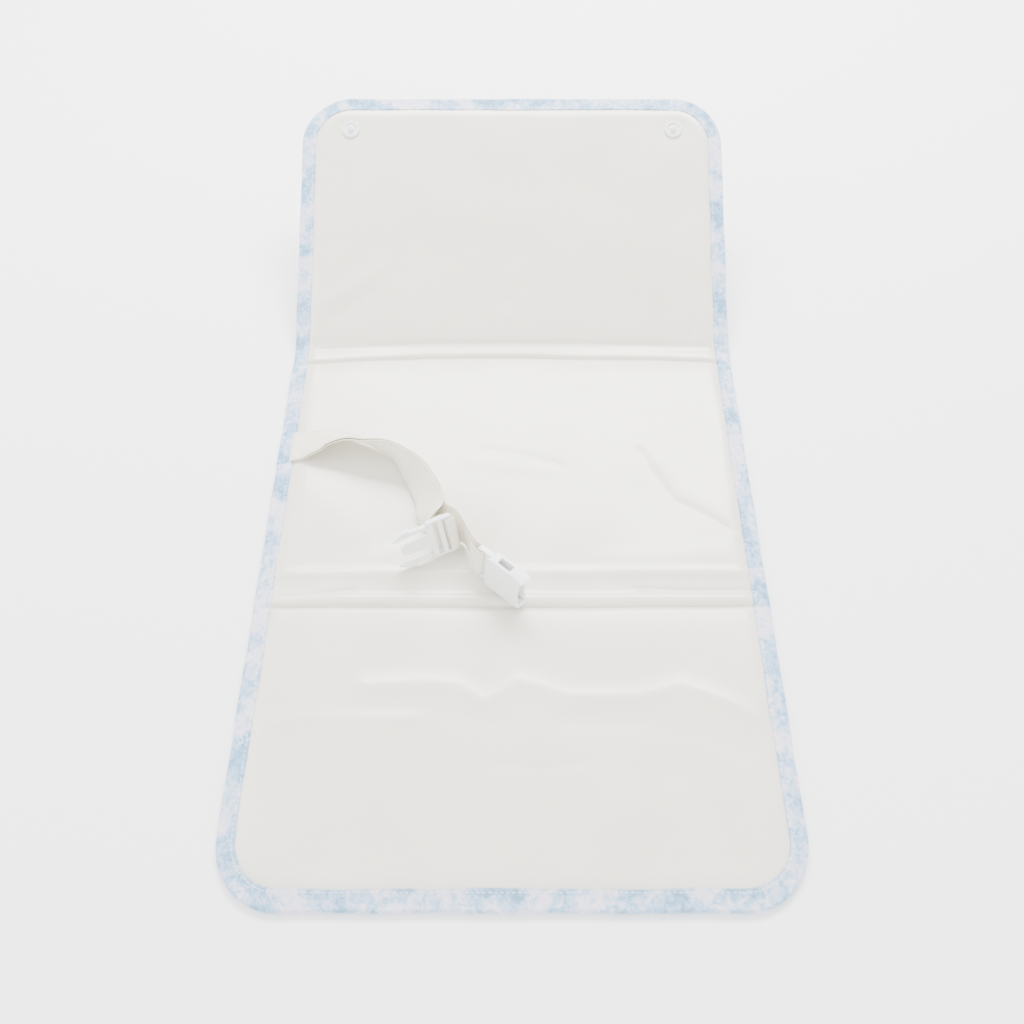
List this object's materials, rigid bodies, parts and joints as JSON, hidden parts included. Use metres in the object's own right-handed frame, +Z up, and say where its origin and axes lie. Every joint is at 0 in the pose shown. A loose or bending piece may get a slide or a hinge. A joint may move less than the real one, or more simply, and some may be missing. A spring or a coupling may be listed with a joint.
{
  "type": "changing pad",
  "caption": "Tri-fold padded changing pad with printed bound edges, press studs and a webbing strap with a side-release buckle.",
  "frame": {"origin": "on the floor under the middle of the pad's box", "axes": "+Z up, +Y from the foot end to the head end, +X to the right seen from the foot end"},
  "size_m": [0.34, 0.6078, 0.0908],
  "materials": {
    "laminated_face": "off-white wipe-clean laminated cloth, soft satin",
    "foam": "open-cell polyurethane foam",
    "back_cloth": "plain woven backing",
    "printed_binding": "folded cotton tape, white with a mottled pale blue print",
    "webbing": "woven off-white webbing",
    "buckle_plastic": "moulded white acetal",
    "snap_plastic": "moulded white resin"
  },
  "bodies": {
    "middle": {"face_middle": "laminated_face", "foam_middle": "foam", "back_middle": "back_cloth", "binding_middle_left": "printed_binding", "binding_middle_right": "printed_binding", "seam_lower_face": "laminated_face", "seam_lower_back": "back_cloth", "seam_upper_face": "laminated_face", "seam_upper_back": "back_cloth", "webbing_anchor": "webbing"},
    "head": {"face_head": "laminated_face", "foam_head": "foam", "back_head": "back_cloth", "binding_head": "printed_binding", "stud_left": "snap_plastic", "stud_right": "snap_plastic", "stud_cap_left": "snap_plastic", "stud_cap_right": "snap_plastic"},
    "foot": {"face_foot": "laminated_face", "foam_foot": "foam", "back_foot": "back_cloth", "binding_foot": "printed_binding", "snap_socket_left": "snap_plastic", "snap_socket_right": "snap_plastic", "socket_cap_left": "snap_plastic", "socket_cap_right": "snap_plastic"},
    "strap": {"webbing_plug": "webbing", "webbing_socket": "webbing", "plug_frame": "buckle_plastic", "buckle_socket": "buckle_plastic"},
    "plug_arm_left": {"plug_arm_left": "buckle_plastic"},
    "plug_arm_right": {"plug_arm_right": "buckle_plastic"}
  },
  "joints": [
    {"name": "head_fold", "type": "hinge", "parent": "middle", "child": "head", "pos_m": [0, 0.1061, 0.0115], "axis": [1, 0, 0], "range_deg": [-24, 144]},
    {"name": "foot_fold", "type": "hinge", "parent": "middle", "child": "foot", "pos_m": [0, -0.1099, 0.009], "axis": [-1, 0, 0], "range_deg": [0, 180]},
    {"name": "strap_swing", "type": "hinge", "parent": "middle", "child": "strap", "pos_m": [-0.163, 0.0107, 0.0059], "axis": [-0.342, -0.9397, 0], "range_deg": [0, 156]},
    {"name": "plug_arm_left_flex", "type": "hinge", "parent": "strap", "child": "plug_arm_left", "pos_m": [-0.05651, -0.07339, 0.03417], "axis": [0.4025, -0.8327, 0.3802], "range_deg": [0, 6], "stiffness_Nm_per_rad": 0.02},
    {"name": "plug_arm_right_flex", "type": "hinge", "parent": "strap", "child": "plug_arm_right", "pos_m": [-0.05284, -0.08099, 0.01363], "axis": [-0.4025, 0.8327, -0.3802], "range_deg": [0, 6], "stiffness_Nm_per_rad": 0.02}
  ],
  "couplings": [
    {"joint": "strap_swing", "follows": "foot_fold", "ratio": 0.8611},
    {"joint": "plug_arm_right_flex", "follows": "plug_arm_left_flex", "ratio": 1}
  ]
}
